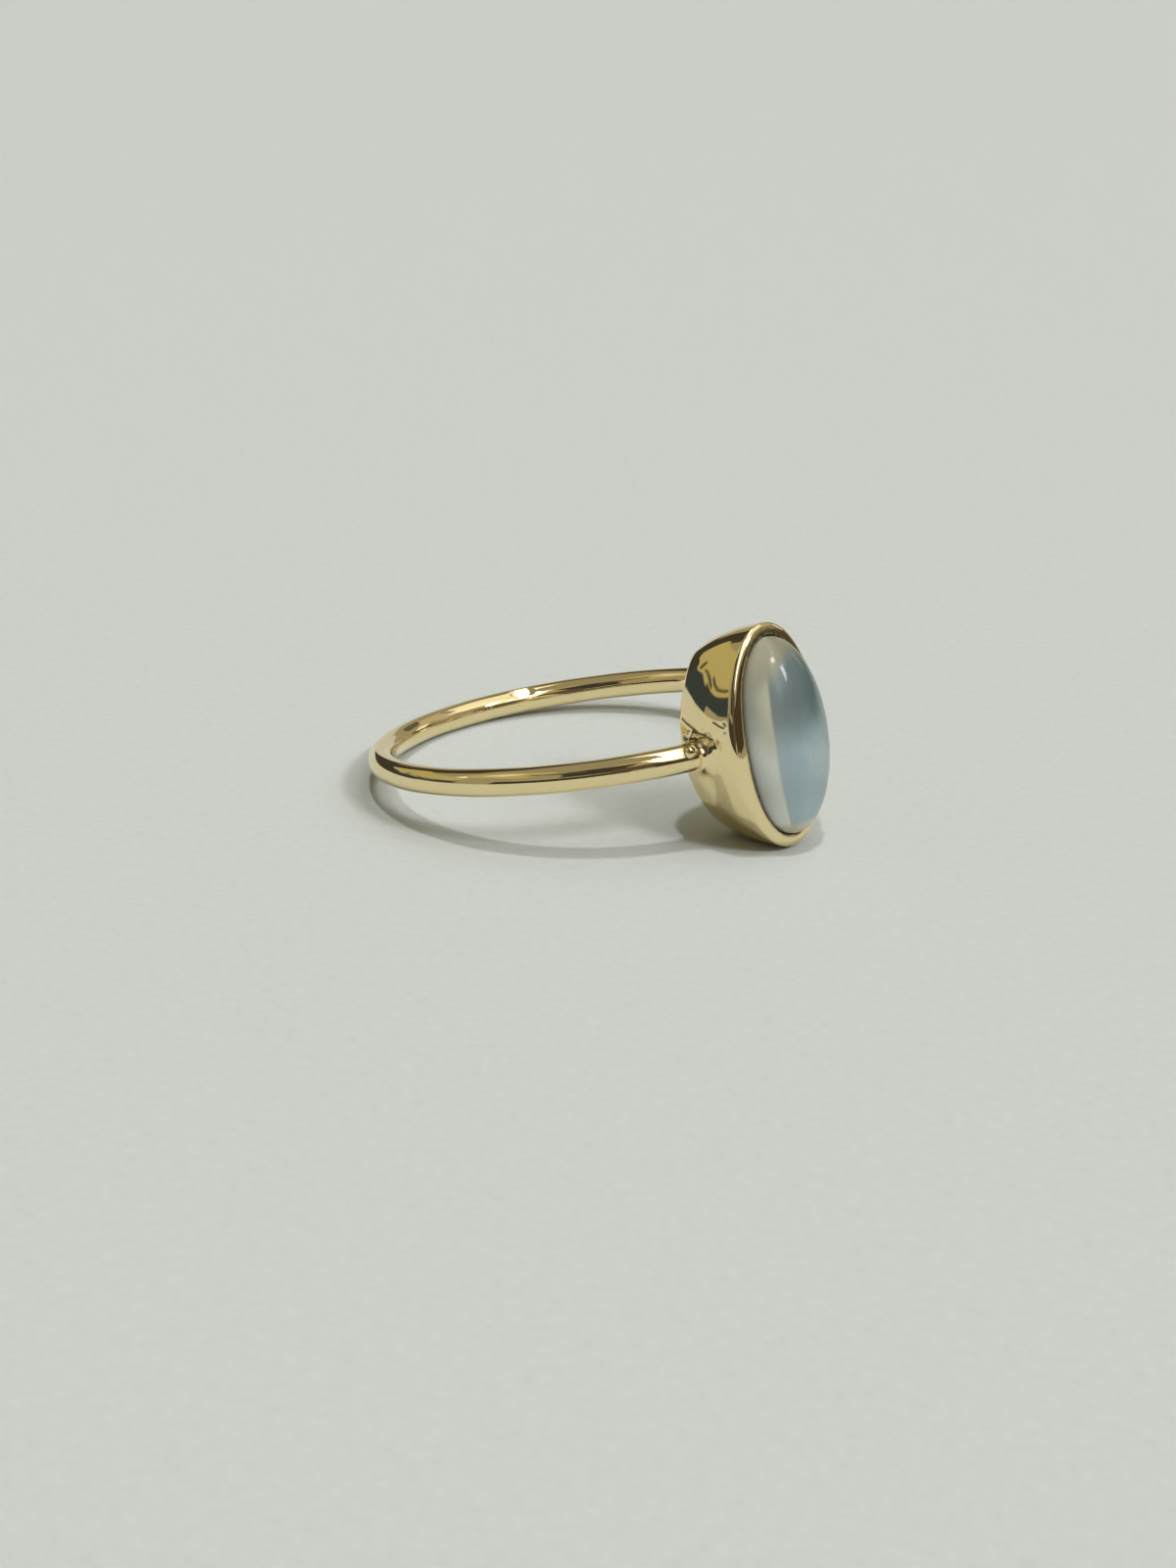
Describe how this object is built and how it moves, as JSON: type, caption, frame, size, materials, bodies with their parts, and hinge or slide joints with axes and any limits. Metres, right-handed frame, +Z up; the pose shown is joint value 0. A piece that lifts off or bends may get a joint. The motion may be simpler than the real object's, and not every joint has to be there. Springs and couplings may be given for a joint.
{
  "type": "moonstone ring",
  "caption": "Gold wire finger ring with an oval bezel cup holding a smooth domed moonstone, lying on its side.",
  "frame": {"origin": "middle of the lying ring's footprint, on the surface that it rests on", "axes": "+X from the back of the band towards the stone, +Y across the band, +Z up from the surface; the finger's axis leans 11.3 degrees from +Z, away from the stone"},
  "size_m": [0.0218, 0.0196, 0.009],
  "materials": {
    "gold": "polished yellow gold with fine handling scratches",
    "moonstone": "polished, milky and translucent with a soft blue-grey sheen"
  },
  "bodies": {
    "root": {"gold_mount": "gold", "moonstone": "moonstone"}
  },
  "joints": []
}
